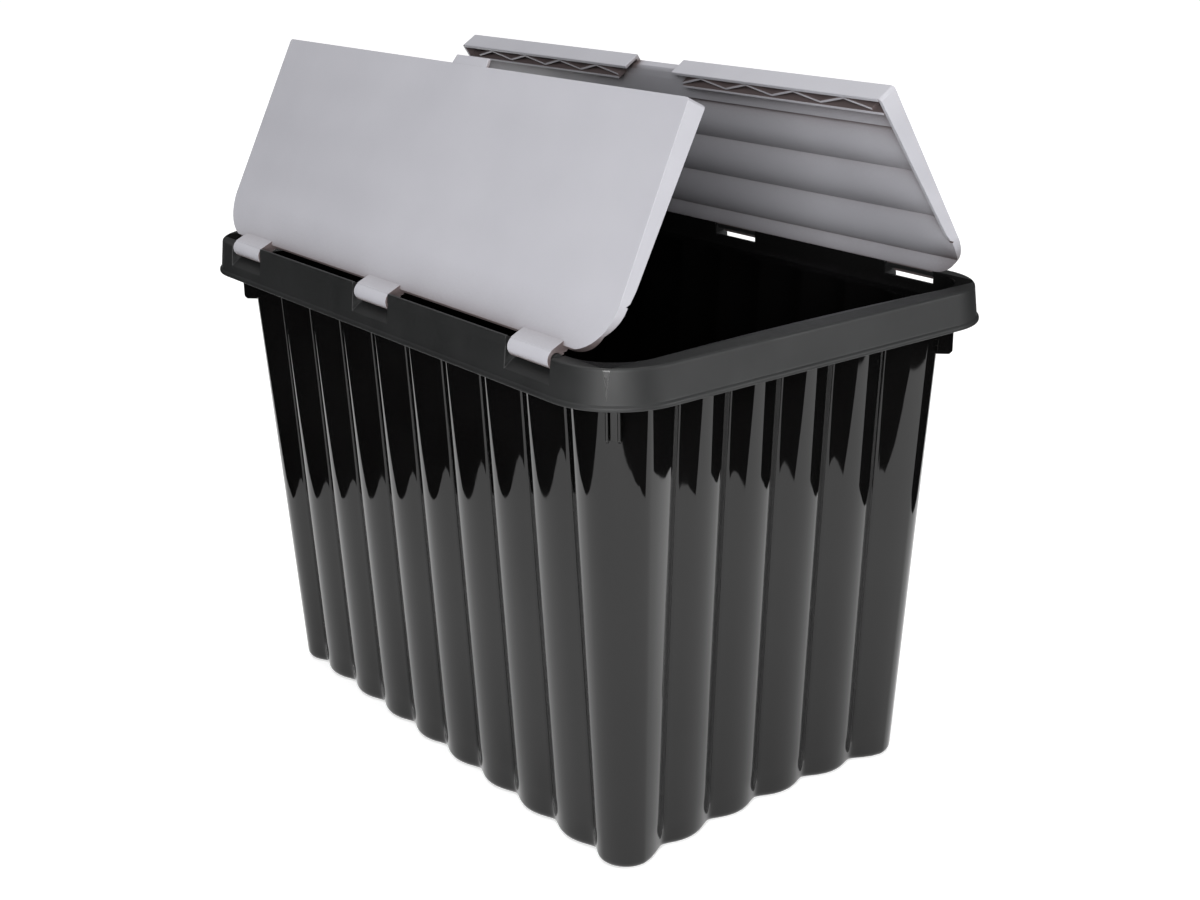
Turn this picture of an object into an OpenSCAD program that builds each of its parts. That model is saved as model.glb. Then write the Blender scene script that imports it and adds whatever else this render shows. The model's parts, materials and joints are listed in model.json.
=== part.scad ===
// Attached lid tote: an open tub with two lid leaves that hook onto bars in its rim and fold up and outward.
// X runs along the tote, Y across it, Z up. The origin is the middle of the underside.

/* [Tub] */
// Length over the rim lip
tote_length = 600; // [560:1:640]
// Width over the rim lip
tote_width = 406; // [396:1:440]
// Height from the floor to the flat top of the rim
tote_height = 415; // [300:1:480]
// Wall thickness of every moulded wall
wall = 3; // [2.4:0.1:3.4]
// Thickness of the tub floor
floor_thickness = 4; // [3:0.5:6]

/* [Flutes] */
// Distance from one flute valley to the next
flute_pitch = 52.5; // [50:0.1:53]
// Depth of the flutes on the two long sides
side_flute_depth = 7; // [3:0.5:9]
// Depth of the flutes on the two ends
end_flute_depth = 7.5; // [3:0.5:9]
// How far the middle of each end curves inward
end_bow = 9; // [0:0.5:10]

/* [Rim] */
// Height of the rim skirt that people lift by
skirt_height = 29; // [26:0.5:34]
// Depth of the smooth collar inside the rim, which the closed lids stand in
collar_depth = 20.1; // [19.8:0.1:23]
// Height of the thin guards between the hooks
guard_height = 5; // [2:0.1:5]

/* [Lids] */
// Angle the front lid stands open, from closed
front_open = 64; // [0:1:225]
// Angle the rear lid stands open, from closed
rear_open = 58; // [0:1:225]
// Width of each hook along the hinge
hook_width = 47; // [30:1:48]
// Height of the rounded flutes under each lid
lid_flute_height = 4.5; // [1:0.5:5]
// Depth of the lips at the ends of each lid
lip_depth = 16.5; // [12:0.5:16.5]

/* [Hidden] */
$fn = 96;

// Tub body
top_inset = 27;          // lip to the flutes, just under the rim
base_inset = 47.5;       // lip to the flutes, at the base
top_corner = 36;
base_corner = 24;
base_edge = 5;           // rounded edge around the underside
side_bow = -1.5;         // the long sides swell outward a little
end_flutes = 4;
side_flutes = 8;
flute_steps = 6;
corner_steps = 8;
ledge_top = tote_height - collar_depth;
ledge_bottom = ledge_top - wall;

// Rim
lip_corner = 58;
rim_end_width = 21;      // lip to the opening, at the ends
rim_side_width = 18;     // lip to the opening, along the sides
collar_corner = 40;
collar_bow = 4.5;
skirt_draft = 4.7;
lip_z = tote_height - skirt_height;
opening = [tote_length / 2 - rim_end_width, tote_width / 2 - rim_side_width];

// Hinges
bar_radius = 4;
hook_gap = 0.4;
hook_inner = bar_radius + hook_gap;
hook_outer = hook_inner + wall;
hinge_out = tote_width / 2 - 11.5;
hinge_z = tote_height - 2.3;
hook_pitch = 209;
hook_places = [-hook_pitch, 0, hook_pitch];
notch_width = hook_width + 5;
seat_width = notch_width + 2 * wall;
hook_start = -45;        // angles around the bar, from the direction of the closed lid
hook_end = 190;

// Lids, in hinge coordinates: across from the bar towards the middle, and up
lid_top = -1;
lid_skin = 3;
lid_edge = 9.3;
lid_bevel = [1.2, 1.6];  // bevel along the hinge edge, which lets the lid swing past the skirt
lid_reach = hinge_out - 1;
lid_end_middle = opening[0] - 8;
lid_end_hinge = opening[0] - 3;
lid_inside = lid_end_middle - wall;
lid_corner = 38;
lid_flute_pitch = 44;
lid_flute_count = 4;
first_valley = lid_edge + 15;
land_start = first_valley + (lid_flute_count - 1) * lid_flute_pitch + 1.5;
land_depth = 5;
channel = 9.5;           // between the edge wall and the inner wall
inner_wall = 2.5;
channel_start = lid_reach - wall - channel;
land_end = channel_start - inner_wall;
brace = 1.2;             // half the width of a brace across the lid
brace_step = 26.5;
brace_drop = lip_depth - lid_skin - 1;
tongue = [-10, 37];      // where the front lid's tongue starts and ends along X
tongue_reach = 7;
recess = [tongue[0] - 12, tongue[1] + 1];
recess_depth = tongue_reach - 1.2;
scoop = [recess[0] - 18, recess[1] + 7];

// ---------- outlines ----------

// Inset of a fluted side at distance u from its middle; 0 on a crest, depth in a valley, plus the bow.
function side_inset(u, half, reach, depth, bow) =
    let (edge = abs(u) >= reach, span = half - reach)
    let (t = edge ? (half - abs(u)) / span : 2 * ((u + reach) / flute_pitch % 1) - 1)
    bow * (1 - pow(u / half, 2)) + depth * pow(t, 2);

// Stations along a side, from one corner up to but not including the next.
function side_stations(half, count) =
    let (reach = count * flute_pitch / 2)
    concat(
        [for (i = [0 : 3]) -half + (half - reach) * i / 4],
        [for (i = [0 : count * flute_steps - 1]) -reach + i * flute_pitch / flute_steps],
        [for (i = [0 : 3]) reach + (half - reach) * i / 4]
    );

function side(half, count, depth, bow) =
    [for (u = side_stations(half, count)) [u, side_inset(u, half, count * flute_pitch / 2, depth, bow)]];

function corner(centre, radius, start) =
    [for (i = [0 : corner_steps - 1])
        let (a = start + 90 * i / corner_steps) centre + radius * [cos(a), sin(a)]];

// A closed loop at height z: half sizes, corner radius, then [along X, along Y] flute counts, depths and bows.
function loop_at(z, half, radius, counts, depths, bows) =
    let (
        c = half - [radius, radius],
        long = side(c[0], counts[0], depths[0], bows[0]),
        short = side(c[1], counts[1], depths[1], bows[1]),
        flat = concat(
            [for (p = long) [p[0], p[1] - half[1]]], corner([c[0], -c[1]], radius, -90),
            [for (p = short) [half[0] - p[1], p[0]]], corner(c, radius, 0),
            [for (p = long) [-p[0], half[1] - p[1]]], corner([-c[0], c[1]], radius, 90),
            [for (p = short) [p[1] - half[0], -p[0]]], corner(-c, radius, 180)
        )
    )
    [for (p = flat) [p[0], p[1], z]];

function mix(a, b, t) = a + (b - a) * t;

// The fluted wall's outline at height z, moved inward by the given distance.
function wall_loop(z, inward) =
    let (
        t = z / ledge_bottom,
        inset = mix(base_inset, top_inset, t) + inward,
        half = [tote_length / 2 - inset, tote_width / 2 - inset]
    )
    loop_at(z, half, mix(base_corner, top_corner, t) - inward,
        [side_flutes, end_flutes], [side_flute_depth, end_flute_depth], [side_bow, end_bow]);

// A plain loop around the rim opening, moved outward, with as many stations as the flutes ask for.
function collar_loop(z, outward, counts) =
    loop_at(z, opening + [outward, outward], collar_corner + outward, counts, [0, 0], [0, collar_bow]);

function lip_loop(z, inward) =
    loop_at(z, [tote_length / 2 - inward, tote_width / 2 - inward], lip_corner - inward,
        [0, 0], [0, 0], [0, 0]);

// ---------- solids from loops ----------

module loft(loops, closed) {
    n = len(loops[0]);
    count = len(loops);
    bands = closed ? count : count - 1;
    points = [for (one = loops) for (p = one) p];
    walls = [for (i = [0 : bands - 1]) for (j = [0 : n - 1])
        let (a = i * n, b = (i + 1) % count * n, k = (j + 1) % n)
        each [[a + j, b + j, b + k], [a + j, b + k, a + k]]];
    caps = closed ? [] : [[for (j = [0 : n - 1]) j], [for (j = [n - 1 : -1 : 0]) (count - 1) * n + j]];
    polyhedron(points, concat(walls, caps));
}

// ---------- tub ----------

module tub_shell() {
    counts = [side_flutes, end_flutes];
    color("#1c1d1f") loft([
        wall_loop(0, base_edge),
        wall_loop(base_edge * 0.3, base_edge * 0.3),
        wall_loop(base_edge, 0),
        wall_loop(ledge_bottom, 0),
        collar_loop(ledge_bottom, wall, counts),
        collar_loop(ledge_top, wall, counts),
        wall_loop(ledge_top, wall),
        wall_loop(floor_thickness + base_edge, wall),
        wall_loop(floor_thickness, wall + base_edge)
    ], false);
}

// Half section of the rim, [distance in from the lip, height], from the lip up the outside to the flat top.
rim_edge = [
    [0, lip_z], [0.2, lip_z + 2.2], [1.9, lip_z + 4.2],
    [skirt_draft - 0.3, tote_height - 2.4], [skirt_draft + 0.4, tote_height - 0.7], [skirt_draft + 1.6, tote_height]
];

module rim_ring() {
    none = [0, 0];
    loft(concat(
        [for (p = rim_edge) lip_loop(p[1], p[0])],
        [
            collar_loop(tote_height, 1.2, none),
            collar_loop(tote_height - 1.2, 0, none),
            collar_loop(ledge_top, 0, none),
            collar_loop(ledge_top, wall, none),
            collar_loop(tote_height - wall, wall, none),
            lip_loop(tote_height - wall, skirt_draft + wall),
            lip_loop(lip_z, wall)
        ]
    ), true);
}

module rim_band() {
    color("#2d2e30") difference() {
        rim_ring();
        for (s = [-1, 1], x = hook_places)
            translate([x - seat_width / 2, s > 0 ? opening[1] - 2 : -tote_width / 2 - 1, ledge_top])
                cube([seat_width, rim_side_width + 3, tote_height]);
    }
}

// Places a shape drawn as [outward, up] along X, centred on x, on the front or the rear side.
module along_side(x, width, rear) {
    mirror([0, rear ? 0 : 1, 0])
        translate([x - width / 2, 0, 0])
            rotate([90, 0, 90])
                linear_extrude(width) children();
}

half_width = tote_width / 2;

// Outside face of the skirt at height z, between the lip bead and the rounded top edge.
function skirt_face(z) =
    half_width - mix(rim_edge[2][0], rim_edge[3][0], (z - rim_edge[2][1]) / (rim_edge[3][1] - rim_edge[2][1]));

module seat_section() {
    polygon([
        [opening[1], ledge_top], [skirt_face(ledge_top), ledge_top],
        [half_width - rim_edge[3][0], rim_edge[3][1]], [half_width - rim_edge[4][0], rim_edge[4][1]],
        [half_width - rim_edge[5][0], tote_height],
        [opening[1] + 1.2, tote_height], [opening[1], tote_height - 1.2]
    ]);
}

module pocket_section() {
    ramp_foot = tote_height - 18.4;
    polygon([
        [opening[1], ledge_top], [skirt_face(ledge_top), ledge_top],
        [skirt_face(ramp_foot), ramp_foot],
        [hinge_out + 2, tote_height - 13.1], [hinge_out - 1.5, tote_height - 11.4],
        [opening[1], tote_height - 10.8]
    ]);
}

module hinge_seat(x, rear) {
    color("#2d2e30") {
        along_side(x, notch_width, rear) pocket_section();
        for (s = [-1, 1])
            along_side(x + s * (notch_width + wall) / 2, wall, rear) seat_section();
    }
}

module hinge_bar(x, rear) {
    color("#2d2e30")
        translate([x - notch_width / 2, rear ? hinge_out : -hinge_out, hinge_z])
            rotate([0, 90, 0])
                cylinder(r = bar_radius, h = notch_width);
}

module guard(side_x, rear) {
    width = hook_pitch - notch_width;
    face = half_width - skirt_draft - 0.3;
    color("#2d2e30")
        along_side(side_x * hook_pitch / 2, width, rear)
            polygon([
                [half_width - rim_edge[5][0] - 1.4, tote_height], [half_width - rim_edge[5][0], tote_height],
                [half_width - rim_edge[4][0], rim_edge[4][1]], [half_width - rim_edge[3][0], rim_edge[3][1]],
                [face, tote_height + guard_height - 0.6], [face - 0.7, tote_height + guard_height],
                [face - 2, tote_height + guard_height], [face - 2.4, tote_height + guard_height - 0.5]
            ]);
}

// A pair of short joined ribs on one corner of the tub, under the rim, that stop a nested tote from jamming.
module corner_stop(side_x, side_y) {
    drop = 29;
    height = ledge_bottom - lip_z + drop;
    root = top_corner - 7;
    reach = top_corner + 10;
    half_gap = 3;
    rib = 2.4;
    bevel = 2.5;
    centre = [tote_length / 2 - top_inset - top_corner, tote_width / 2 - top_inset - top_corner];
    color("#1c1d1f") difference() {
        translate([side_x * centre[0], side_y * centre[1], lip_z - drop])
            rotate([0, 0, atan2(side_y, side_x)]) {
                for (y = [half_gap + rib, -half_gap])
                    translate([0, y, 0]) rotate([90, 0, 0]) linear_extrude(rib)
                        polygon([
                            [root, 0], [reach - bevel, 0], [reach, bevel], [reach, height], [root, height]
                        ]);
                translate([root, -half_gap, 0])
                    cube([top_corner - root + 3, 2 * half_gap, height]);
            }
        loft([wall_loop(0, 0), wall_loop(ledge_bottom + 1, 0)], false);
    }
}

// ---------- lids ----------

// Moves a lid drawn in hinge coordinates, closed, to its bar and opens it.
module on_hinge(rear) {
    mirror([0, rear ? 1 : 0, 0])
        translate([0, -hinge_out, hinge_z])
            rotate([rear ? rear_open : front_open, 0, 0]) children();
}

// Extrudes a shape drawn as [across, up] along X between two places.
module across_x(from, to) {
    translate([from, 0, 0])
        rotate([90, 0, 90])
            linear_extrude(to - from) children();
}

function lid_half(s) = mix(lid_end_hinge, lid_end_middle, (s - lid_edge) / (lid_reach - lid_edge));

// Plan of the lid panel inside its end lips, with the two round corners at the hinge.
module lid_plan(cut) {
    c = [lid_half(lid_edge + lid_corner) - lid_corner, lid_edge + lid_corner];
    right = [for (i = [0 : 12]) let (a = -90 + i * 7.5) c + lid_corner * [cos(a), sin(a)]];
    difference() {
        polygon(concat(
            right, [[lid_half(lid_reach), lid_reach], [-lid_half(lid_reach), lid_reach]],
            [for (i = [12 : -1 : 0]) [-right[i][0], right[i][1]]]
        ));
        for (s = [-1, 1]) scale([s, 1]) lip_plan();
        if (cut) translate([recess[0], lid_reach - recess_depth]) square([recess[1] - recess[0], 20]);
    }
}

module lip_plan() {
    start = lid_edge + lid_corner;
    polygon([
        [lid_half(start) - wall, start], [lid_half(start) + 1, start],
        [lid_half(lid_reach) + 1, lid_reach + 1], [lid_half(lid_reach) - wall, lid_reach + 1]
    ]);
}

// Underside of the panel: rounded flutes, then a flat land along the free edge.
module lid_section() {
    low = lid_top - lid_skin;
    last_valley = first_valley + (lid_flute_count - 1) * lid_flute_pitch;
    lobes = [for (k = [0 : lid_flute_count - 1]) for (i = [0 : 15])
        let (s = first_valley + (k - 1 + i / 16) * lid_flute_pitch)
        if (s > lid_edge) [s, low - lid_flute_height * (1 - pow(i / 8 - 1, 2))]];
    polygon(concat(
        [[lid_edge + lid_bevel[0], lid_top], [lid_edge, lid_top - lid_bevel[1]], [lid_edge, lobes[0][1]]],
        lobes,
        [[last_valley, low], [land_start, low - land_depth], [land_end, low - land_depth],
         [land_end, low], [lid_reach, low], [lid_reach, lid_top]]
    ));
}

module lid_panel(rear) {
    color("#bdbdc4") on_hinge(rear) intersection() {
        translate([0, 0, lid_top - 20]) linear_extrude(20) lid_plan(rear);
        across_x(-tote_length / 2, tote_length / 2) lid_section();
    }
}

module lid_lip(side_x, rear) {
    start = lid_edge + lid_corner;
    color("#bdbdc4") on_hinge(rear) intersection() {
        translate([0, 0, lid_top - 20]) linear_extrude(20) scale([side_x, 1]) intersection() {
            lip_plan();
            polygon([
                [lid_half(start) - wall, start], [lid_half(start), start],
                [lid_half(lid_reach), lid_reach], [lid_half(lid_reach) - wall, lid_reach]
            ]);
        }
        across_x(-tote_length / 2, tote_length / 2) polygon([
            [start, lid_top], [lid_reach, lid_top], [lid_reach, lid_top - lip_depth],
            [start + 12, lid_top - 10], [start + 3, lid_top - 8.5], [start, lid_top - 6]
        ]);
    }
}

// A wall under the free edge: how far across it lies, then where it runs along X.
module edge_rib(across, along, rear) {
    color("#bdbdc4") on_hinge(rear)
        across_x(along[0], along[1])
            translate([across[0], lid_top - lip_depth])
                square([across[1] - across[0], lip_depth - lid_skin]);
}

module lid_edge_wall(along, rear) {
    edge_rib([lid_reach - wall, lid_reach], along, rear);
}

module lid_inner_wall(along, rear) {
    edge_rib([land_end, channel_start], along, rear);
}

// Zigzag brace in the channel between the two walls, from one place along X towards another.
module lid_bracing(along, rear) {
    step = along[0] < along[1] ? brace_step : -brace_step;
    count = floor((along[1] - along[0]) / step);
    middle = [for (i = [0 : count])
        [along[0] + i * step, channel_start + (i % 2 == 0 ? brace : channel - brace)]];
    color("#bdbdc4") on_hinge(rear)
        translate([0, 0, lid_top - lid_skin - brace_drop])
            linear_extrude(brace_drop)
                polygon(concat(
                    [for (p = middle) p - [0, brace]],
                    [for (i = [count : -1 : 0]) middle[i] + [0, brace]]
                ));
}

// Flat tongue in the middle of the front lid's free edge; it closes into the rear lid's recess.
module front_lid_tongue() {
    color("#bdbdc4") on_hinge(false)
        translate([0, 0, lid_top - lid_skin])
            linear_extrude(lid_skin)
                polygon([
                    [tongue[0], lid_reach], [tongue[1], lid_reach],
                    [tongue[1] - 1, lid_reach + tongue_reach], [tongue[0] + 3, lid_reach + tongue_reach]
                ]);
}

// Sloped finger scoop behind the recess in the rear lid.
module rear_lid_scoop() {
    low = lid_top - lid_skin;
    front = lid_reach - recess_depth;
    color("#bdbdc4") on_hinge(true)
        across_x(scoop[0], scoop[1])
            polygon([
                [land_end, low], [front, low], [front, low - 2.4],
                [front - 3, low - 4.5], [land_end, low - land_depth]
            ]);
}

// The web that joins a hook's ring to the panel, drawn as [across, up].
module hook_web_section() {
    middle = hook_inner + wall / 2;
    polygon([
        middle * [cos(80), sin(80)], [4.4, 6.5], [8.8, 3], [13.6, lid_top],
        [lid_edge + lid_bevel[0], lid_top], [lid_edge, lid_top - lid_bevel[1]],
        [lid_edge, lid_top - 6.2], [7.2, -6.2], middle * [cos(-30), sin(-30)]
    ]);
}

// The open part of the ring, which snaps over the bar.
module hook_mouth_section() {
    far = 3 * hook_outer;
    polygon([
        [0, 0], far * [cos(hook_end), sin(hook_end)], [-far, -far], [0, -far],
        far * [cos(hook_start), sin(hook_start)]
    ]);
}

// A C-shaped hook: most of a ring around the bar, with its web.
module lid_hook(x, rear) {
    from = x - hook_width / 2;
    to = x + hook_width / 2;
    color("#bdbdc4") on_hinge(rear) difference() {
        union() {
            across_x(from, to) circle(r = hook_outer);
            across_x(from, to) hook_web_section();
        }
        across_x(from - 1, to + 1) circle(r = hook_inner);
        across_x(from - 1, to + 1) hook_mouth_section();
    }
}

// ---------- nodes ----------

module front_hinge_seat_left() { hinge_seat(hook_places[0], false); }
module front_hinge_seat_middle() { hinge_seat(hook_places[1], false); }
module front_hinge_seat_right() { hinge_seat(hook_places[2], false); }
module rear_hinge_seat_left() { hinge_seat(hook_places[0], true); }
module rear_hinge_seat_middle() { hinge_seat(hook_places[1], true); }
module rear_hinge_seat_right() { hinge_seat(hook_places[2], true); }
module front_hinge_bar_left() { hinge_bar(hook_places[0], false); }
module front_hinge_bar_middle() { hinge_bar(hook_places[1], false); }
module front_hinge_bar_right() { hinge_bar(hook_places[2], false); }
module rear_hinge_bar_left() { hinge_bar(hook_places[0], true); }
module rear_hinge_bar_middle() { hinge_bar(hook_places[1], true); }
module rear_hinge_bar_right() { hinge_bar(hook_places[2], true); }
module front_guard_left() { guard(-1, false); }
module front_guard_right() { guard(1, false); }
module rear_guard_left() { guard(-1, true); }
module rear_guard_right() { guard(1, true); }
module stop_front_left() { corner_stop(-1, -1); }
module stop_front_right() { corner_stop(1, -1); }
module stop_rear_left() { corner_stop(-1, 1); }
module stop_rear_right() { corner_stop(1, 1); }
module front_lid_panel() { lid_panel(false); }
module front_lid_lip_left() { lid_lip(-1, false); }
module front_lid_lip_right() { lid_lip(1, false); }
module front_lid_edge_wall() { lid_edge_wall([-lid_inside, lid_inside], false); }
module front_lid_inner_wall() { lid_inner_wall([-lid_inside, lid_inside], false); }
module front_lid_bracing() { lid_bracing([-lid_inside, lid_inside], false); }
module front_lid_hook_left() { lid_hook(hook_places[0], false); }
module front_lid_hook_middle() { lid_hook(hook_places[1], false); }
module front_lid_hook_right() { lid_hook(hook_places[2], false); }
module rear_lid_panel() { lid_panel(true); }
module rear_lid_lip_left() { lid_lip(-1, true); }
module rear_lid_lip_right() { lid_lip(1, true); }
module rear_lid_edge_wall_left() { lid_edge_wall([-lid_inside, recess[0]], true); }
module rear_lid_edge_wall_right() { lid_edge_wall([recess[1], lid_inside], true); }
module rear_lid_inner_wall_left() { lid_inner_wall([-lid_inside, scoop[0]], true); }
module rear_lid_inner_wall_right() { lid_inner_wall([scoop[1], lid_inside], true); }
module rear_lid_bracing_left() { lid_bracing([scoop[0], -lid_inside], true); }
module rear_lid_bracing_right() { lid_bracing([scoop[1], lid_inside], true); }
module rear_lid_hook_left() { lid_hook(hook_places[0], true); }
module rear_lid_hook_middle() { lid_hook(hook_places[1], true); }
module rear_lid_hook_right() { lid_hook(hook_places[2], true); }

tub_shell();
rim_band();
front_hinge_seat_left();
front_hinge_seat_middle();
front_hinge_seat_right();
rear_hinge_seat_left();
rear_hinge_seat_middle();
rear_hinge_seat_right();
front_hinge_bar_left();
front_hinge_bar_middle();
front_hinge_bar_right();
rear_hinge_bar_left();
rear_hinge_bar_middle();
rear_hinge_bar_right();
front_guard_left();
front_guard_right();
rear_guard_left();
rear_guard_right();
stop_front_left();
stop_front_right();
stop_rear_left();
stop_rear_right();
front_lid_panel();
front_lid_lip_left();
front_lid_lip_right();
front_lid_edge_wall();
front_lid_inner_wall();
front_lid_bracing();
front_lid_tongue();
front_lid_hook_left();
front_lid_hook_middle();
front_lid_hook_right();
rear_lid_panel();
rear_lid_lip_left();
rear_lid_lip_right();
rear_lid_edge_wall_left();
rear_lid_edge_wall_right();
rear_lid_inner_wall_left();
rear_lid_inner_wall_right();
rear_lid_bracing_left();
rear_lid_bracing_right();
rear_lid_scoop();
rear_lid_hook_left();
rear_lid_hook_middle();
rear_lid_hook_right();
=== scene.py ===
import json
from math import cos, exp, pi, radians, sin, sqrt

import bmesh
import bpy
from mathutils import Matrix, Vector
from mathutils.bvhtree import BVHTree


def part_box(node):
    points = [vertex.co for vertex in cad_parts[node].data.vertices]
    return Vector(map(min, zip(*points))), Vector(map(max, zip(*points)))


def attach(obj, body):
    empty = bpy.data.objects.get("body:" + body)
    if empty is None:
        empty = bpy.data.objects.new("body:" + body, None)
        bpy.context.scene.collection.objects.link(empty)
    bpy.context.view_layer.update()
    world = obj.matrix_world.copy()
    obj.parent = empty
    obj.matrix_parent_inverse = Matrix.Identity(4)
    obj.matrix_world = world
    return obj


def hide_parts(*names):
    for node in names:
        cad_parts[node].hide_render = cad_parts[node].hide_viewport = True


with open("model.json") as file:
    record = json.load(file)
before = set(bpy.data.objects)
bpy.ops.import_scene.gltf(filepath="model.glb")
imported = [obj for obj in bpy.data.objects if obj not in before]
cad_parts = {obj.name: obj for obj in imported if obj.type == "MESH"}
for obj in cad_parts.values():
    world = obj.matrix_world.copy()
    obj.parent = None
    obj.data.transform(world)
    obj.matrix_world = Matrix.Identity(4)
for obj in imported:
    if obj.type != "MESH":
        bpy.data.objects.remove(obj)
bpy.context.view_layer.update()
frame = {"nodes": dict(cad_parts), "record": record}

MM = 0.001

# ---------------------------------------------------------------- sizes, in metres

rim_low, rim_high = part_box("rim_band")
HALF = Vector((rim_high[0], rim_high[1]))
HEIGHT = rim_high[2]
LIP_Z = rim_low[2]
LEDGE_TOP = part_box("tub_shell")[1][2]
WALL = 3 * MM
LEDGE_BOTTOM = LEDGE_TOP - WALL
FLOOR_TOP = 4 * MM

FLUTE_PITCH = 52.5 * MM
FLUTE_COUNTS = (8, 4)                     # on the long sides and on the ends
FLUTE_DEPTHS = (7 * MM, 7.5 * MM)
BOWS = (-1.5 * MM, 9 * MM)                # the ends curve inward, the sides swell a little
TOP_INSET, BASE_INSET = 27 * MM, 47.5 * MM
TOP_CORNER, BASE_CORNER = 36 * MM, 24 * MM
BASE_EDGE = 6 * MM
VALLEY_WIDTH, BASE_VALLEY_WIDTH = 3.2 * MM, 6.5 * MM
GROOVE_DEPTH, GROOVE_WIDTH = 1.3 * MM, 0.8 * MM
GROOVE_START, GROOVE_FULL = 16 * MM, 30 * MM
UNDERSIDE_HOLLOW = 1.2 * MM
HOLLOW_INSET, HOLLOW_SLOPE = 15 * MM, 1.5 * MM
CORNER_STEPS = 14

OPENING = HALF - Vector((21 * MM, 18 * MM))
COLLAR_CORNER = 40 * MM
COLLAR_BOWS = (0, 4.5 * MM)
LIP_CORNER = 58 * MM


def mix(a, b, t):
    return a + (b - a) * t


def ramp(value, start, end):
    """Rises smoothly from 0 to 1 between start and end."""
    t = min(max((value - start) / (end - start), 0), 1)
    return t * t * (3 - 2 * t)


# ---------------------------------------------------------------- meshes

SHARP_EDGE = radians(35)
SAME_PLACE, NEARLY_SAME_PLACE = 0.002 * MM, 0.02 * MM


def add_object(name, mesh):
    piece = bpy.data.objects.new(name, mesh)
    bpy.context.scene.collection.objects.link(piece)
    return piece


def loft(name, loops):
    """A mesh through loops that all have the same number of points. Both ends are capped."""
    count = len(loops[0])
    points = [point for loop in loops for point in loop]
    last = len(points) - count
    faces = []
    for start in range(0, last, count):
        for j in range(count):
            k = (j + 1) % count
            faces.append((start + j, start + k, start + count + k, start + count + j))
    faces.append(tuple(reversed(range(count))))
    faces.append(tuple(range(last, last + count)))
    mesh = bpy.data.meshes.new(name)
    mesh.from_pydata(points, [], faces)
    mesh.update()
    return add_object(name, mesh)


def shade(piece, angle=radians(32)):
    """Smooth shading, with edges sharper than the angle kept crisp."""
    mesh = bmesh.new()
    mesh.from_mesh(piece.data)
    for face in mesh.faces:
        face.smooth = True
    for edge in mesh.edges:
        edge.smooth = not (len(edge.link_faces) == 2 and edge.calc_face_angle() > angle)
    mesh.to_mesh(piece.data)
    mesh.free()
    modifier = piece.modifiers.new("flat_faces_stay_flat", "WEIGHTED_NORMAL")
    modifier.keep_sharp = True
    modifier.weight = 100
    apply_modifiers(piece)


def face_outward(piece):
    mesh = bmesh.new()
    mesh.from_mesh(piece.data)
    bmesh.ops.recalc_face_normals(mesh, faces=mesh.faces)
    mesh.to_mesh(piece.data)
    mesh.free()


def join(name, parts):
    """One new piece with the meshes of all the parts. The parts are removed."""
    mesh = bmesh.new()
    for part in parts:
        mesh.from_mesh(part.data)
        bpy.data.objects.remove(part)
    data = bpy.data.meshes.new(name)
    mesh.to_mesh(data)
    mesh.free()
    return add_object(name, data)


def copy_of_node(node, name):
    """A CAD node's mesh as a new piece, with its split vertices welded."""
    piece = add_object(name, frame["nodes"][node].data.copy())
    mesh = bmesh.new()
    mesh.from_mesh(piece.data)
    bmesh.ops.remove_doubles(mesh, verts=mesh.verts, dist=SAME_PLACE)
    mesh.to_mesh(piece.data)
    mesh.free()
    return piece


def cut(piece, tool):
    """Cuts the tool's shape out of the piece, and removes the tool."""
    modifier = piece.modifiers.new("cut", "BOOLEAN")
    modifier.operation = "DIFFERENCE"
    modifier.solver = "MANIFOLD"
    modifier.object = tool
    apply_modifiers(piece)
    bpy.data.objects.remove(tool)


def apply_modifiers(piece):
    bpy.context.view_layer.update()
    graph = bpy.context.evaluated_depsgraph_get()
    data = bpy.data.meshes.new_from_object(piece.evaluated_get(graph), depsgraph=graph)
    piece.modifiers.clear()
    piece.data = data


def round_edges(piece, width, chosen, segments=3):
    """Rounds the sharp edges for which chosen(end, end) is true."""
    mesh = bmesh.new()
    mesh.from_mesh(piece.data)
    bmesh.ops.remove_doubles(mesh, verts=mesh.verts, dist=NEARLY_SAME_PLACE)
    bmesh.ops.dissolve_limit(mesh, angle_limit=radians(0.3), verts=mesh.verts, edges=mesh.edges)
    layers = mesh.edges.layers.float
    weights = layers.get("bevel_weight_edge") or layers.new("bevel_weight_edge")
    for edge in mesh.edges:
        is_sharp = len(edge.link_faces) == 2 and edge.calc_face_angle() > SHARP_EDGE
        ends = [vertex.co for vertex in edge.verts]
        edge[weights] = 1.0 if is_sharp and chosen(*ends) else 0.0
    mesh.to_mesh(piece.data)
    mesh.free()
    modifier = piece.modifiers.new("round", "BEVEL")
    modifier.limit_method = "WEIGHT"
    modifier.width = width
    modifier.segments = segments
    modifier.use_clamp_overlap = True
    apply_modifiers(piece)


# ---------------------------------------------------------------- outlines

VALLEY_STEPS = [v * MM for v in (0, 0.3, 0.6, 1, 1.5, 2.3, 3.6, 5.5)]
LOBE_STEPS = [v * MM for v in (8.5, 12, 16, 21)]


def side_stations(half, count):
    """Places along a side, close together at each valley."""
    reach = count * FLUTE_PITCH / 2
    edge = [reach + v for v in VALLEY_STEPS[1:]]
    edge += [mix(edge[-1], half, t) for t in (0.3, 0.65)]
    lobe = VALLEY_STEPS + LOBE_STEPS + [FLUTE_PITCH / 2]
    lobe += [FLUTE_PITCH - v for v in reversed(VALLEY_STEPS[1:] + LOBE_STEPS)]
    middle = [k * FLUTE_PITCH - reach + v for k in range(count) for v in lobe]
    return [-u for u in reversed(edge)] + middle + [reach] + edge


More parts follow.
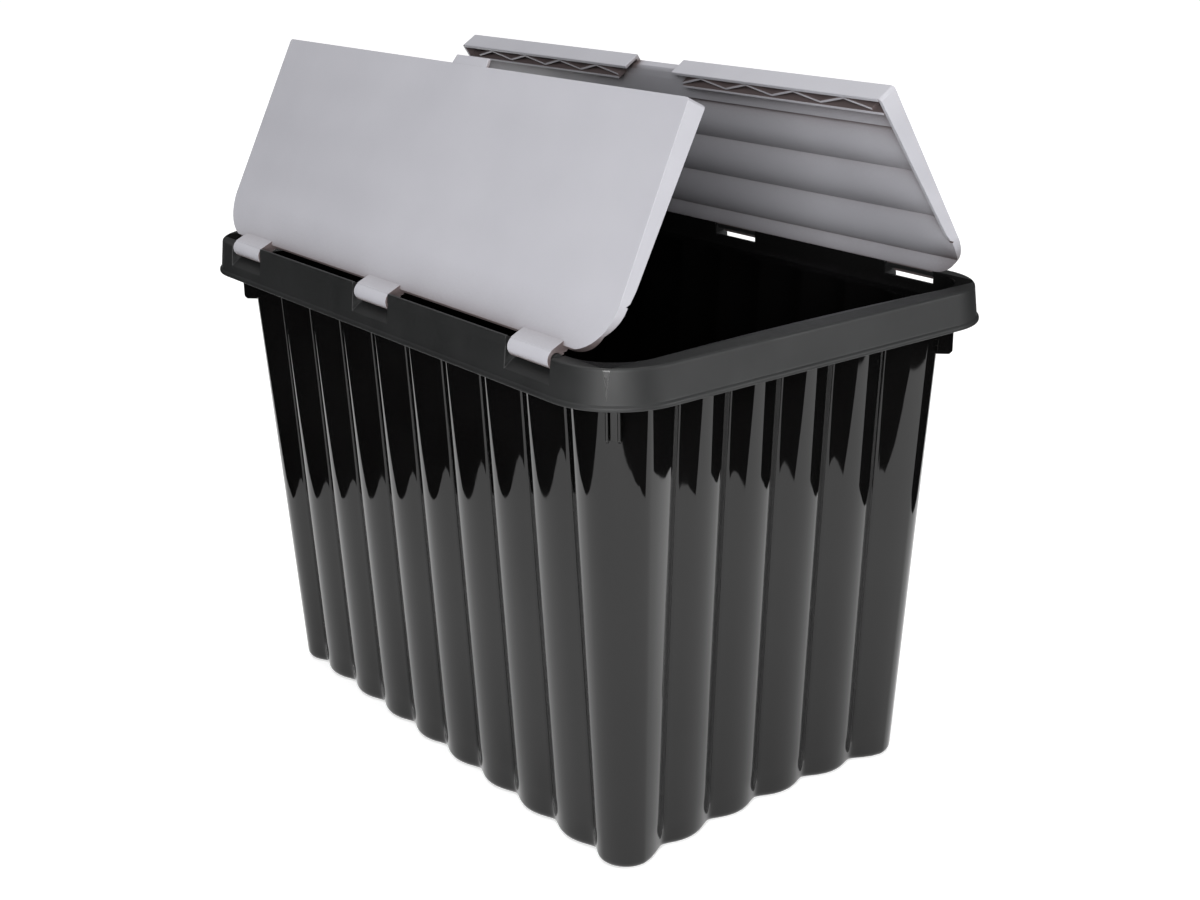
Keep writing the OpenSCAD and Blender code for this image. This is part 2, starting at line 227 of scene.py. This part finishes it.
def side_inset(u, half, side, depth, bow, valley_width, groove):
    """How far in from a crest the wall is, at distance u from the middle of the side."""
    inset = bow * (1 - (u / half) ** 2)
    if depth == 0:
        return inset
    reach = FLUTE_COUNTS[side] * FLUTE_PITCH / 2
    if abs(u) > reach:
        from_valley, lobe = abs(u) - reach, half - reach
    else:
        past_valley, lobe = (u + reach) % FLUTE_PITCH, FLUTE_PITCH / 2
        from_valley = min(past_valley, FLUTE_PITCH - past_valley)
    full = sqrt(lobe**2 + valley_width**2)
    sunk = (full - sqrt(from_valley**2 + valley_width**2)) / (full - valley_width)
    return inset + depth * sunk**2 + groove * exp(-((from_valley / GROOVE_WIDTH) ** 2))


def outline(z, half, radius, depths, bows, valley_width=1.0, groove=0.0):
    """A closed outline with a rounded corner between each two sides."""
    centre = half - Vector((radius, radius))
    sides = []
    for side in (0, 1):
        sides.append([
            (u, side_inset(u, centre[side], side, depths[side], bows[side], valley_width, groove))
            for u in side_stations(centre[side], FLUTE_COUNTS[side])
        ])
    long, short = sides
    points = []

    def corner(x, y, start):
        for i in range(CORNER_STEPS + 1):
            turn = start + pi / 2 * i / CORNER_STEPS
            points.append((x + radius * cos(turn), y + radius * sin(turn), z))

    points += [(u, inset - half[1], z) for u, inset in long]
    corner(centre[0], -centre[1], -pi / 2)
    points += [(half[0] - inset, u, z) for u, inset in short]
    corner(centre[0], centre[1], 0)
    points += [(-u, half[1] - inset, z) for u, inset in long]
    corner(-centre[0], centre[1], pi / 2)
    points += [(inset - half[0], -u, z) for u, inset in short]
    corner(-centre[0], -centre[1], pi)
    return points


def wall_outline(z, inward, groove=1.0):
    """The fluted wall at height z. The drawn depth of the grooves fades out above the base."""
    rise = z / LEDGE_BOTTOM
    inset = mix(BASE_INSET, TOP_INSET, rise) + inward
    fade = ramp(z, GROOVE_START, GROOVE_FULL)
    return outline(
        z, HALF - Vector((inset, inset)), mix(BASE_CORNER, TOP_CORNER, rise) - inward, FLUTE_DEPTHS, BOWS,
        mix(BASE_VALLEY_WIDTH, VALLEY_WIDTH, fade), groove * GROOVE_DEPTH * fade,
    )


def collar_outline(z, outward):
    """The smooth opening at height z, grown outward."""
    return outline(z, OPENING + Vector((outward, outward)), COLLAR_CORNER + outward, (0, 0), COLLAR_BOWS)


# ---------------------------------------------------------------- tub


def tub_shell():
    """Loops from the middle of the underside, up the outside, over the ledge and down to the floor inside."""
    edge = [i * pi / 10 for i in range(6)]
    loops = [wall_outline(UNDERSIDE_HOLLOW, HOLLOW_INSET, 0), wall_outline(0, HOLLOW_INSET - HOLLOW_SLOPE, 0)]
    loops += [wall_outline(BASE_EDGE * (1 - cos(a)), BASE_EDGE * (1 - sin(a)), 0) for a in edge]
    heights = [10, 14, 18, 22, 26, 30, 36, 60, 120, 200, 280, 340]
    loops += [wall_outline(z * MM, 0) for z in heights] + [wall_outline(LEDGE_BOTTOM, 0)]
    loops += [collar_outline(LEDGE_BOTTOM, WALL), collar_outline(LEDGE_TOP, WALL)]
    loops += [wall_outline(LEDGE_TOP, WALL, 0)]
    loops += [wall_outline(z * MM, WALL, 0) for z in (340, 200, 60, 30, 20)]
    loops += [
        wall_outline(FLOOR_TOP + BASE_EDGE * (1 - cos(a)), WALL + BASE_EDGE * (1 - sin(a)), 0)
        for a in reversed(edge)
    ]
    piece = loft("tub_shell_detailed", loops)
    shade(piece, radians(50))
    return piece


# ---------------------------------------------------------------- rim

BEAD = 0.9 * MM
EDGE_RADIUS = 2.2 * MM
SKIRT_FOOT, SKIRT_HEAD = 2 * MM, 4.4 * MM      # inset of the skirt's face at its foot and at its head
COLLAR_EDGE = 1.2 * MM
NOTCH_HALF, SEAT_HALF = 26 * MM, 29 * MM
GUARD_INSET, GUARD_THICKNESS = 4.8 * MM, 2.4 * MM
GUARD_FOOT = 0.4 * MM                          # how much wider the guard is where it joins the flat top
ARC_STEPS, STRAIGHT_STEPS = 20, 10
HOOK_PLACES = [(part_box(f"front_lid_hook_{n}")[0][0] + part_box(f"front_lid_hook_{n}")[1][0]) / 2
               for n in ("left", "middle", "right")]


def arc(centre, radius, start, end, steps):
    """Points on an arc. Angles are in degrees."""
    angles = [radians(mix(start, end, i / steps)) for i in range(steps + 1)]
    return [(centre[0] + radius * cos(a), centre[1] + radius * sin(a)) for a in angles]


def skirt_edge():
    """The rounded edge between the skirt and the flat top, as (inset from the lip, height)."""
    return arc((SKIRT_HEAD + EDGE_RADIUS, HEIGHT - EDGE_RADIUS), EDGE_RADIUS, 180, 90, 6)


def skirt_profile():
    """The outside of the skirt from the lip's underside to the flat top, as (inset from the lip, height)."""
    lip = arc((BEAD, LIP_Z + BEAD), BEAD, 270, 180, 4)
    neck = [(0, 2), (0.25, 2.8), (0.9, 3.5), (1.6, 4.2)]
    lip += [(inset * MM, LIP_Z + z * MM) for inset, z in neck]
    lip += [(SKIRT_FOOT, LIP_Z + 6 * MM)]
    return lip + skirt_edge()


def collar_profile(lowest):
    """The inside of the opening from the flat top downward, as (distance out from the opening, height)."""
    return arc((COLLAR_EDGE, HEIGHT - COLLAR_EDGE), COLLAR_EDGE, 90, 180, 4) + [(0, lowest)]


def straight_section(hollow):
    """A section across the rim on a long side, as (distance out from the middle, height)."""
    outside = [(HALF[1] - inset, z) for inset, z in skirt_profile()]
    inside = [(OPENING[1] + out, z) for out, z in collar_profile(LEDGE_TOP)]
    under = [(HALF[1] - WALL, LEDGE_TOP), (HALF[1] - WALL, LIP_Z)]
    if hollow:
        roof = HEIGHT - WALL
        under = [
            (OPENING[1] + WALL, LEDGE_TOP), (OPENING[1] + WALL, roof),
            (HALF[1] - SKIRT_HEAD - WALL, roof), (HALF[1] - WALL, LIP_Z),
        ]
    return outside + inside + under


def along_side(name, x_from, x_to, section, rear):
    """A section drawn out along the front side, or along the rear one."""
    side = 1 if rear else -1
    return loft(name, [[(x, side * y, z) for y, z in section] for x in (x_from, x_to)])


def end_path(half, radius, bow):
    """From the last seat on the front side, round one end, to the last seat on the rear side."""
    centre = half - Vector((radius, radius))
    start = HOOK_PLACES[2] + SEAT_HALF
    path = [(start, -half[1])]
    path += arc((centre[0], -centre[1]), radius, -90, 0, ARC_STEPS)
    places = [centre[1] * i / STRAIGHT_STEPS for i in range(1 - STRAIGHT_STEPS, STRAIGHT_STEPS)]
    path += [(half[0] - bow * (1 - (y / centre[1]) ** 2), y) for y in places]
    path += arc(centre, radius, 0, 90, ARC_STEPS)
    return path + [(start, half[1])]


def rim_end(name, side):
    """One end of the rim with both its corners. Side is 1 or -1."""

    def lip(inset, z):
        return [(side * x, y, z) for x, y in end_path(HALF - Vector((inset, inset)), LIP_CORNER - inset, 0)]

    def collar(out, z):
        path = end_path(OPENING + Vector((out, out)), COLLAR_CORNER + out, COLLAR_BOWS[1])
        return [(side * x, y, z) for x, y in path]

    rows = [lip(*p) for p in skirt_profile()] + [collar(*p) for p in collar_profile(LEDGE_TOP)]
    rows += [collar(WALL, LEDGE_TOP), collar(WALL, HEIGHT - WALL)]
    rows += [lip(SKIRT_HEAD + WALL, HEIGHT - WALL), lip(WALL, LIP_Z)]
    return loft(name, list(zip(*rows)))


def notch_section():
    """The space of a notch above its sloped floor, as (distance out from the middle, height)."""
    floor_line = [(-4, 10.8), (0, 10.8), (5, 11.4), (8.5, 13.1), (15.5, 18.4), (21, 22.5)]
    section = [(OPENING[1] + out * MM, HEIGHT - depth * MM) for out, depth in floor_line]
    top = HEIGHT + 10 * MM
    return section + [(section[-1][0], top), (section[0][0], top)]


def hinge_seat(name, x, rear):
    """The solid stretch of rim below a hook, with a notch that the hook lies in."""
    seat = along_side(name, x - SEAT_HALF, x + SEAT_HALF, straight_section(False), rear)
    notch = along_side("notch", x - NOTCH_HALF, x + NOTCH_HALF, notch_section(), rear)
    for piece in (seat, notch):
        face_outward(piece)
    cut(seat, notch)
    inner = SEAT_HALF - 0.5 * MM
    round_edges(seat, 0.7 * MM, lambda a, b: max(abs(a.x - x), abs(b.x - x)) < inner)
    return seat


def guard(name, side, rear):
    """The thin raised wall between two hooks, on the rounded outer edge of the rim."""
    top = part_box("front_guard_left")[1][2]
    outer_edge, inner_edge = 0.7 * MM, 0.5 * MM
    inner = GUARD_INSET + GUARD_THICKNESS
    section = list(reversed(skirt_edge()))
    section += arc((GUARD_INSET + outer_edge, top - outer_edge), outer_edge, 180, 90, 4)
    section += arc((inner - inner_edge, top - inner_edge), inner_edge, 90, 0, 4)
    section += [(inner + GUARD_FOOT, HEIGHT)]
    ends = sorted((side * (HOOK_PLACES[1] + NOTCH_HALF), side * (HOOK_PLACES[2] - NOTCH_HALF)))
    piece = along_side(name, *ends, [(HALF[1] - inset, z) for inset, z in section], rear)
    face_outward(piece)
    round_edges(piece, 0.8 * MM, lambda a, b: abs(a.x - b.x) < MM and min(a.z, b.z) > HEIGHT + 0.5 * MM)
    return piece


def rim():
    """The whole rim: two ends, and on each side the hinge seats, with rim and guards between them."""
    parts = [rim_end("rim_end", side) for side in (-1, 1)]
    for rear in (False, True):
        for i in (0, 1):
            span = (HOOK_PLACES[i] + SEAT_HALF, HOOK_PLACES[i + 1] - SEAT_HALF)
            parts.append(along_side("rim_side", *span, straight_section(True), rear))
            parts.append(guard("guard", 2 * i - 1, rear))
        parts += [hinge_seat("seat", x, rear) for x in HOOK_PLACES]
    for part in parts:
        face_outward(part)
        shade(part)
    piece = join("rim_detailed", parts)
    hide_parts("rim_band", *[n for n in frame["nodes"] if "hinge_seat" in n or "guard" in n])
    return piece


# ---------------------------------------------------------------- lids

LIP_FROM_MIDDLE = 270 * MM
SHORTEST_LIP, DEEPEST_LIP = 14 * MM, 18 * MM


def is_free_corner(a, b):
    """True for the upright edge where a lip meets the lid's free edge."""
    across_lid = abs(a.x - b.x) < 0.1 * MM and SHORTEST_LIP < (a - b).length < DEEPEST_LIP
    return across_lid and abs(a.x) > LIP_FROM_MIDDLE


def surface(node):
    """A CAD node's surface, to measure distances to."""
    mesh = bmesh.new()
    mesh.from_mesh(frame["nodes"][node].data)
    tree = BVHTree.FromBMesh(mesh)
    mesh.free()
    return tree


def lid(side):
    """One lid as a single moulding. Its edges are softened, except where two of its features meet."""
    names = [n for n in frame["nodes"] if n.startswith(side + "_lid_")]
    parts = []
    for name in names:
        neighbours = [surface(n) for n in names if n != name]

        def meets(point):
            return any(tree.find_nearest(point, 0.05 * MM)[0] for tree in neighbours)

        def is_free(a, b):
            return not (meets(mix(a, b, 0.25)) and meets(mix(a, b, 0.75)))

        part = copy_of_node(name, name + "_copy")
        round_edges(part, 2.6 * MM, is_free_corner, segments=6)
        round_edges(part, 0.6 * MM, is_free)
        shade(part)
        parts.append(part)
    piece = join(side + "_lid_moulding", parts)
    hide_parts(*names)
    return piece


def corner_stops():
    """The four small blocks under the rim, with softened edges."""
    stops = []
    for name in [n for n in frame["nodes"] if n.startswith("stop_")]:
        piece = copy_of_node(name, name + "_moulding")
        round_edges(piece, 0.6 * MM, lambda a, b: True)
        shade(piece)
        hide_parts(name)
        stops.append(piece)
    return stops


# ---------------------------------------------------------------- materials


class Nodes:
    """A short way to build a node material around one Principled shader."""

    def __init__(self, name):
        self.material = bpy.data.materials.new(name)
        self.material.use_nodes = True
        self.tree = self.material.node_tree
        self.shader = self.tree.nodes["Principled BSDF"]
        coordinates = self.tree.nodes.new("ShaderNodeTexCoord")
        self.place = coordinates.outputs["Object"]

    def set(self, **values):
        for key, value in values.items():
            self.shader.inputs[key.replace("_", " ")].default_value = value

    def node(self, kind, inputs=(), **settings):
        made = self.tree.nodes.new(kind)
        for key, value in settings.items():
            setattr(made, key, value)
        for key, value in dict(inputs).items():
            if isinstance(value, bpy.types.NodeSocket):
                self.tree.links.new(value, made.inputs[key])
            else:
                made.inputs[key].default_value = value
        return made

    def noise(self, scale, detail, place=None):
        inputs = {"Vector": place or self.place, "Scale": scale, "Detail": detail}
        return self.node("ShaderNodeTexNoise", inputs).outputs["Fac"]

    def map(self, value, start, end, low, high):
        inputs = {"Value": value, "From Min": start, "From Max": end, "To Min": low, "To Max": high}
        return self.node("ShaderNodeMapRange", inputs).outputs["Result"]

    def spread(self, value, low, high):
        """Maps the middle of a noise value to low..high."""
        return self.map(value, 0.3, 0.7, low, high)

    def blend_colours(self, factor, first, second):
        """Mixes two colours, each a colour's red, green and blue or another node's output."""
        made = self.node("ShaderNodeMix", data_type="RGBA")
        self.tree.links.new(factor, made.inputs["Factor"])
        for socket, colour in (("A", first), ("B", second)):
            if isinstance(colour, bpy.types.NodeSocket):
                self.tree.links.new(colour, made.inputs[socket])
            else:
                made.inputs[socket].default_value = (*colour, 1)
        return made.outputs["Result"]

    def maths(self, operation, first, second=0.0):
        return self.node("ShaderNodeMath", {0: first, 1: second}, operation=operation).outputs["Value"]

    def along(self, direction, offset):
        """Distance along a direction, the same on both halves of the tote across Y."""
        size = self.node("ShaderNodeVectorMath", {0: self.place}, operation="ABSOLUTE").outputs["Vector"]
        inputs = {0: size, 1: direction}
        distance = self.node("ShaderNodeVectorMath", inputs, operation="DOT_PRODUCT").outputs["Value"]
        return self.maths("ADD", distance, offset)

    def bump(self, height, distance, below=None):
        inputs = {"Height": height, "Distance": distance}
        if below:
            inputs["Normal"] = below
        return self.node("ShaderNodeBump", inputs).outputs["Normal"]

    def link(self, output, name):
        self.tree.links.new(output, self.shader.inputs[name])


GRAIN = 1400                              # scale of the fine grain on the matt plastics

LID_GREYS = (0.385, 0.383, 0.415), (0.415, 0.413, 0.445)
LID_SHADE = (0.12, 0.095, 0.095)
SHADE_REACH = 40 * MM
IN_SHADE, IN_THE_OPEN = 0.72, 0.96        # share of open sky deep in a valley, and on a crest
LID_LEAN = radians(61)                    # the middle of the two lids' angles at rest
LID_VALLEY = 24.3 * MM                    # from the hinge to the first valley
LID_FLUTE = 44 * MM


def lid_material():
    """Matt grey plastic: fine grain, faint sink bands in line with the flutes, shade in the valleys."""
    look = Nodes("grey_lid_plastic")
    plain = look.blend_colours(look.spread(look.noise(9, 4), 0, 1), *LID_GREYS)
    open_sky = look.node("ShaderNodeAmbientOcclusion", {"Distance": SHADE_REACH}, samples=8).outputs["AO"]
    shaded = look.blend_colours(look.map(open_sky, IN_SHADE, IN_THE_OPEN, 0, 1), LID_SHADE, plain)
    look.link(shaded, "Base Color")
    look.link(look.spread(look.noise(35, 3), 0.42, 0.52), "Roughness")
    low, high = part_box("front_hinge_bar_middle")
    hinge_y, hinge_z = abs(low[1] + high[1]) / 2, (low[2] + high[2]) / 2
    up_the_lid = (0, -cos(LID_LEAN), sin(LID_LEAN))
    from_hinge = look.along(up_the_lid, hinge_y * cos(LID_LEAN) - hinge_z * sin(LID_LEAN))
    from_valley = look.maths("SUBTRACT", from_hinge, LID_VALLEY)
    waves = look.maths("SINE", look.maths("MULTIPLY", from_valley, 2 * pi / LID_FLUTE))
    sunk = look.bump(waves, 0.22 * MM)
    look.link(look.bump(look.noise(GRAIN, 2), 0.04 * MM, below=sunk), "Normal")
    return look.material


RIM_BLACKS = (0.010, 0.0104, 0.0106), (0.015, 0.0155, 0.0158)
# painted shade: a darker black for the inside of the opening, where the shade falls
PAINTED_SHADE_INSIDE = (0.005, 0.005, 0.005)


def rim_material():
    """Matt black plastic outside, polished inside the opening, where it is also coloured darker as painted
    shade. Slow upright sink marks on the skirt.
    """
    look = Nodes("black_rim_plastic")
    size = look.node("ShaderNodeVectorMath", {0: look.place}, operation="ABSOLUTE").outputs["Vector"]
    parts = look.node("ShaderNodeSeparateXYZ", {"Vector": size})
    in_x = look.maths("LESS_THAN", parts.outputs["X"], OPENING[0] + MM)
    in_y = look.maths("LESS_THAN", parts.outputs["Y"], OPENING[1] + MM)
    inside = look.maths("MULTIPLY", in_x, in_y)
    matt = look.blend_colours(look.spread(look.noise(9, 4), 0, 1), *RIM_BLACKS)
    # inside the opening the colour is the painted shade, and the roughness is lower for the polish
    look.link(look.blend_colours(inside, matt, PAINTED_SHADE_INSIDE), "Base Color")
    rough = look.spread(look.noise(35, 3), 0.48, 0.58)
    look.link(look.maths("SUBTRACT", rough, look.maths("MULTIPLY", inside, 0.35)), "Roughness")
    upright = look.node("ShaderNodeMapping", {"Vector": look.place, "Scale": (1, 1, 0.08)}).outputs["Vector"]
    sunk = look.bump(look.noise(24, 1, upright), 0.25 * MM)
    look.link(look.bump(look.noise(GRAIN, 2), 0.05 * MM, below=sunk), "Normal")
    look.set(Specular_IOR_Level=0.4)
    return look.material


GLOSS_BLACKS = (0.0018, 0.0017, 0.0017), (0.003, 0.0029, 0.0029)


def gloss_plastic():
    """Polished black plastic, slightly wavy, with faint flow marks and dust-fine scuffs."""
    look = Nodes("gloss_black_plastic")
    look.link(look.blend_colours(look.spread(look.noise(12, 3), 0, 1), *GLOSS_BLACKS), "Base Color")
    look.link(look.spread(look.noise(60, 4), 0.02, 0.05), "Roughness")
    look.link(look.bump(look.noise(22, 1), 0.06 * MM), "Normal")
    look.set(Specular_IOR_Level=0.37)
    return look.material


def dress(piece, material):
    piece.data.materials.clear()
    piece.data.materials.append(material)


# ---------------------------------------------------------------- camera, floor and light

CAMERA_PLACE = Vector((1.1061, -0.8346, 0.7292))
CAMERA_AZIMUTH, CAMERA_HEIGHT, CAMERA_ROLL = radians(52.12), radians(19.4), radians(-0.8)
CAMERA_LENS = 50.1


def camera():
    level = cos(CAMERA_HEIGHT)
    back = Vector((sin(CAMERA_AZIMUTH) * level, -cos(CAMERA_AZIMUTH) * level, sin(CAMERA_HEIGHT)))
    right = Vector((cos(CAMERA_AZIMUTH), sin(CAMERA_AZIMUTH), 0))
    up = back.cross(right)
    rolled_right = cos(CAMERA_ROLL) * right + sin(CAMERA_ROLL) * up
    rolled_up = cos(CAMERA_ROLL) * up - sin(CAMERA_ROLL) * right
    data = bpy.data.cameras.new("camera")
    data.lens = CAMERA_LENS
    data.sensor_width = 36
    data.clip_end = 50
    made = bpy.data.objects.new("camera", data)
    turn = Matrix((rolled_right, rolled_up, back)).transposed().to_4x4()
    made.matrix_world = Matrix.Translation(CAMERA_PLACE) @ turn
    bpy.context.scene.collection.objects.link(made)
    bpy.context.scene.camera = made


def from_view(across, away, z=0.0):
    """A place in metres to the right of the tote and away from the camera, as the camera faces."""
    right = Vector((cos(CAMERA_AZIMUTH), sin(CAMERA_AZIMUTH), 0))
    forward = Vector((-sin(CAMERA_AZIMUTH), cos(CAMERA_AZIMUTH), 0))
    return right * across + forward * away + Vector((0, 0, z))


# The floor's corners in metres, as (right of the tote, away from the camera)
FLOOR_NEAR = [(-0.65, 0.1), (-0.65, -1.6), (0.02, -1.6), (0.03, -1.05), (0.12, -1.0), (0.32, -0.9)]
FLOOR_RIGHT = [
    (0.5, -0.75), (0.6, -0.6), (1.0, -0.69), (1.3, -0.28), (0.8, -0.2), (0.78, -0.08), (0.73, 0.08),
    (0.7, 0.27), (0.82, 0.6),
]
FLOOR_FAR = [(5.5, 12), (-5.5, 12), (-0.7, 0.3)]


def floor():
    """A pale paper floor that runs out beyond the camera's view. Its edge beside the tote, past which it is
    dark, is where the polished walls turn from a grey reflection to a black one."""
    corners = FLOOR_NEAR + FLOOR_RIGHT + FLOOR_FAR
    mesh = bpy.data.meshes.new("floor")
    mesh.from_pydata([from_view(*corner) for corner in corners], [], [tuple(range(len(corners)))])
    piece = add_object("floor", mesh)
    look = Nodes("floor_paper")
    look.set(Base_Color=(0.9, 0.9, 0.9, 1), Roughness=0.95)
    look.set(Emission_Color=(1, 1, 1, 1), Emission_Strength=0.38)
    dress(piece, look.material)


def add_light(name, kind, place, target, **settings):
    """A light at a place, turned towards its target."""
    data = bpy.data.lights.new(name, kind)
    for key, value in settings.items():
        setattr(data, key, value)
    made = bpy.data.objects.new(name, data)
    made.location = place
    made.rotation_euler = (Vector(target) - Vector(place)).to_track_quat("-Z", "Y").to_euler()
    bpy.context.scene.collection.objects.link(made)


def lights():
    middle = (0, 0, 0.3)
    add_light("light_overhead", "SUN", (0, 0, 3), (0.25, 0.1, 0), energy=2.4, angle=radians(70))
    add_light("light_front", "AREA", from_view(-0.6, -3.4, 1.2), middle, size=1.8, energy=145)
    add_light("light_right", "AREA", from_view(2.2, -0.9, 0.9), middle, size=1.0, energy=26)
    bpy.context.scene.view_settings.view_transform = "Standard"


def room():
    """A room that looks white, and reflects as dark in the polished walls."""
    world = bpy.data.worlds.new("room")
    world.use_nodes = True
    tree = world.node_tree
    dark = tree.nodes["Background"]
    dark.inputs["Color"].default_value = (0.01, 0.01, 0.01, 1)
    pale = tree.nodes.new("ShaderNodeBackground")
    pale.inputs["Color"].default_value = (1, 1, 1, 1)
    path = tree.nodes.new("ShaderNodeLightPath")
    choice = tree.nodes.new("ShaderNodeMixShader")
    tree.links.new(path.outputs["Is Camera Ray"], choice.inputs["Fac"])
    tree.links.new(dark.outputs["Background"], choice.inputs[1])
    tree.links.new(pale.outputs["Background"], choice.inputs[2])
    tree.links.new(choice.outputs["Shader"], tree.nodes["World Output"].inputs["Surface"])
    bpy.context.scene.world = world


# ---------------------------------------------------------------- the scene

MATERIALS = {"lid_plastic": lid_material(), "rim_plastic": rim_material(), "tub_plastic": gloss_plastic()}


def finish_piece(piece, body, slot):
    dress(piece, MATERIALS[slot])
    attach(piece, body)


camera()
floor()
lights()
room()

for row in frame["record"]["subparts"]:
    dress(frame["nodes"][row["node"]], MATERIALS[row["material_slot"]])

shell = tub_shell()
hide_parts("tub_shell")
finish_piece(shell, "tub", "tub_plastic")
finish_piece(rim(), "tub", "rim_plastic")
finish_piece(lid("front"), "front_lid", "lid_plastic")
finish_piece(lid("rear"), "rear_lid", "lid_plastic")
for stop in corner_stops():
    finish_piece(stop, "tub", "tub_plastic")
